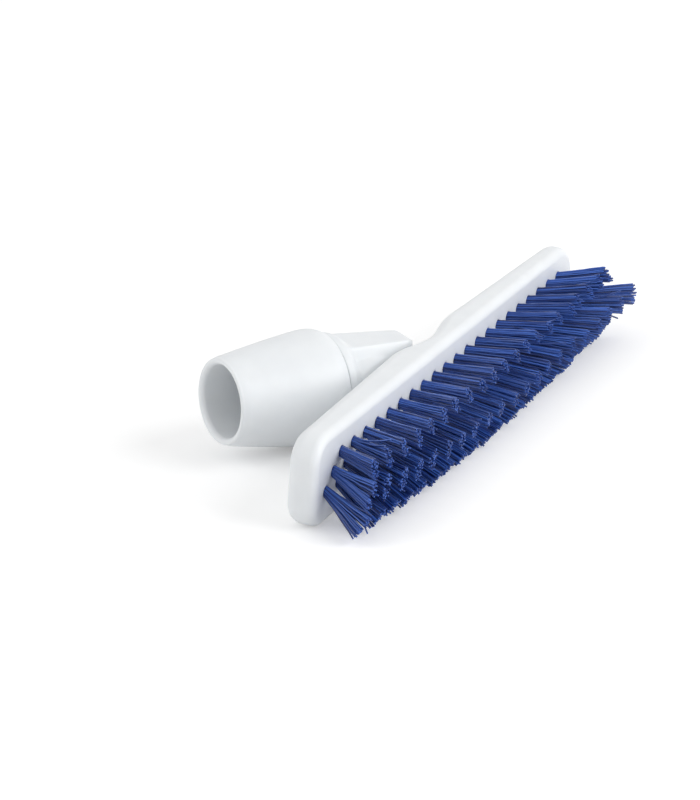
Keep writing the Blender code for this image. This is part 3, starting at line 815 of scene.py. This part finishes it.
def tuftAxis(row, step, reach):
    # the way a tuft leans in the head's frame, for each metre away from the face
    share = step / endStep
    end = 1 if step > 0 else -1
    rise = row["rise"]
    if rise is None:
        tipHeight = tufts["tipRadius"] * row["spread"] + tufts["tipClearance"]
        rise = (tipHeight - headPlace.translation.z + reach * backAxis.z) / upAxis.z
        rise -= row["side"] * tufts["rowGap"]
    rise += row["lift"][end] * share ** 2
    return Vector((math.tan(math.radians(row["fan"][end]) * share), -1, rise / reach))


def filamentPath(rng, row, step, spot, axis, reach, tilt):
    # one filament from inside its hole to its tip
    size = tufts
    endShare = (step / endStep) ** 2
    across, up = spot
    spread = (size["tipRadius"] + size["endSplay"] * endShare) * row["spread"]
    parting = Vector((math.cos(tilt), 0, math.sin(tilt)))
    alongParting = across * parting.x + up * parting.z
    split = size["split"] + (row["endSplit"] - size["split"]) * endShare
    widened = alongParting * spread * (row["wide"] - 1) * endShare
    root = Vector((across, 0, up)) * size["rootRadius"]
    fan = Vector((across, 0, up)) * spread + parting * (widened + math.copysign(split, alongParting))
    own = reach - size["trimSlope"] * row["side"] * fan.z + rng.gauss(0, size["uneven"])
    x, z = tuftRoot(step, row)
    start = Vector((x, 0, z))
    stray = Vector((rng.gauss(0, 1), 0, rng.gauss(0, 1))) * size["strayLean"]
    stray *= rng.random() < size["strayShare"]
    bend = Vector((rng.gauss(0, size["bend"]), 0, rng.gauss(0, size["bend"]))) + stray
    phase, phaseUp = rng.uniform(0, 2 * math.pi), rng.uniform(0, 2 * math.pi)
    lift = size["filamentRadius"] + rng.uniform(0, size["pile"])
    points = [start + root + Vector((0, size["holeDepth"] * size["rootDepth"], 0))]
    for k in range(size["steps"] + 1):
        t = k / size["steps"]
        s = t ** 1.2
        wave = 2 * math.pi * own * t / size["crimpLength"]
        crimp = size["crimp"] * min(1, 3 * t)
        wobble = Vector((math.sin(wave + phase), 0, math.sin(wave * 0.9 + phaseUp))) * crimp
        points.append(start + axis * own * t + root * (1 - s) + fan * s + bend * t ** 2.2 + wobble)
    placed = [headPlace @ p for p in points]
    for p in placed[2:]:
        p.z = (p.z + lift + math.sqrt((p.z - lift) ** 2 + size["floorSoftness"] ** 2)) / 2
    return placed


def filamentLines(column):
    size = tufts
    step = column - endStep
    rng = random.Random(size["seed"] + column)
    curve = bpy.data.curves.new("filamentLines", "CURVE")
    curve.dimensions = "3D"
    curve.bevel_depth = size["filamentRadius"]
    curve.bevel_resolution = 1
    curve.use_fill_caps = True
    for row in rows:
        growth = row["grow"][1 if step > 0 else -1] * (step / endStep) ** 2
        reach = row["reach"] * (1 + growth) + rng.gauss(0, size["uneven"])
        tilt = math.radians(row["tilt"]) + rng.uniform(-size["tiltChange"], size["tiltChange"])
        if step > 0:
            tilt = math.pi - tilt
        axis = tuftAxis(row, step, reach)
        for spot in tuftSpots(size["filaments"]):
            path = filamentPath(rng, row, step, spot, axis, reach, tilt)
            line = curve.splines.new("POLY")
            line.points.add(len(path) - 1)
            thick = rng.uniform(size["thinnest"], size["thickest"])
            for point, place in zip(line.points, path):
                point.co = (*place, 1)
                point.radius = thick
    lines = bpy.data.objects.new("filamentLines", curve)
    scene.collection.objects.link(lines)
    return lines


def makeTuftColumn(column, sideMaterial, endMaterial):
    lines = filamentLines(column)
    bm = bmesh.new()
    bm.from_mesh(finishedMesh(lines))
    bpy.data.objects.remove(lines, do_unlink=True)
    bmesh.ops.remove_doubles(bm, verts=bm.verts, dist=tiny / 2)
    bmesh.ops.recalc_face_normals(bm, faces=bm.faces)
    for face in bm.faces:
        face.material_index = 1 if len(face.verts) > 4 else 0      # a cut end has more corners than a side
    piece = bpy.data.objects.new("tuftColumn%02d" % (column + 1), bpy.data.meshes.new("tuftColumn"))
    bm.to_mesh(piece.data)
    bm.free()
    scene.collection.objects.link(piece)
    piece.data.materials.append(sideMaterial)
    piece.data.materials.append(endMaterial)
    piece.data.shade_smooth()
    piece.data.set_sharp_from_angle(angle=math.radians(50))
    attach(piece, "head")
    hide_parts("tuft_column_%02d" % (column + 1))
    return len(piece.data.polygons)


# Studio
studio = {
    "floorSize": 6,             # metres across
    "floorColour": "#FAFAFA",
    "floorSmooth": 0.85,        # lowest and highest roughness
    "floorDull": 0.95,
    "floorSpecular": 0.1,
    "patchSize": 0.5,           # metres
    "cameraGlow": 0.22,         # strength of the white glow of the seen floor; its shadows stay
    "worldColour": "#FFFFFF",
    "worldStrength": 0.56,
    "worldSeen": 1.0,           # strength of the seen background, which is white
}
lamps = {
    "key": {"place": (0.14, -1.72, 1.0), "size": 1.9, "power": 24.5},
    "left": {"place": (-1.1, 1.4, 1.05), "size": 1.8, "power": 9},
    "above": {"place": (0, 0, 2.0), "size": 2, "power": 2},
}


def makeFloor():
    bm = bmesh.new()
    bmesh.ops.create_grid(bm, x_segments=1, y_segments=1, size=studio["floorSize"] / 2)
    floor = meshObject("floor", bm)
    material, tree, shader = newMaterial("matteFloor")
    patches = addNoise(tree, objectPlace(tree), studio["patchSize"], 2.0)
    blendRoughness(tree, shader, patches, studio["floorSmooth"], studio["floorDull"])
    glow = addNode(tree, "Math", {0: seenRays(tree), 1: studio["cameraGlow"]}, operation="MULTIPLY")
    shader.inputs["Base Color"].default_value = hexColour(studio["floorColour"])
    shader.inputs["Specular IOR Level"].default_value = studio["floorSpecular"]
    shader.inputs["Emission Color"].default_value = (1, 1, 1, 1)
    tree.links.new(glow.outputs[0], shader.inputs["Emission Strength"])
    floor.data.materials.append(material)


def makeLights():
    world = bpy.data.worlds.new("studio")
    scene.world = world
    world.use_nodes = True
    tree = world.node_tree
    sky = tree.nodes["Background"]
    sky.inputs["Color"].default_value = hexColour(studio["worldColour"])
    level = addNode(tree, "MapRange", {"Value": seenRays(tree), "To Min": studio["worldStrength"],
                                       "To Max": studio["worldSeen"]})
    tree.links.new(level.outputs["Result"], sky.inputs["Strength"])
    for name, lamp in lamps.items():
        light = bpy.data.lights.new(name, "AREA")
        light.shape = "DISK"
        light.size = lamp["size"]
        light.energy = lamp["power"]
        stand = bpy.data.objects.new(name, light)
        stand.location = lamp["place"]
        stand.rotation_euler = (-Vector(lamp["place"])).to_track_quat("-Z", "Y").to_euler()
        scene.collection.objects.link(stand)


makeCamera()
makeFloor()
makeLights()
print("camera, floor and lights ready")

makeHeadBlock(mouldedPolypropylene("mouldedPolypropyleneHead", 1.0))
makeNeck(mouldedPolypropylene("mouldedPolypropyleneNeck", 2.0))
makeBarrel(mouldedPolypropylene("mouldedPolypropyleneBarrel", 3.0))
steel = platedSteel()
makePin(steel)
makeWasher(steel)
makeScrew(steel)
filament, sheared = drawnFilament(), shearedEnds()
faces = sum(makeTuftColumn(column, filament, sheared) for column in range(tufts["columns"]))
print("made the tufts:", faces, "faces")
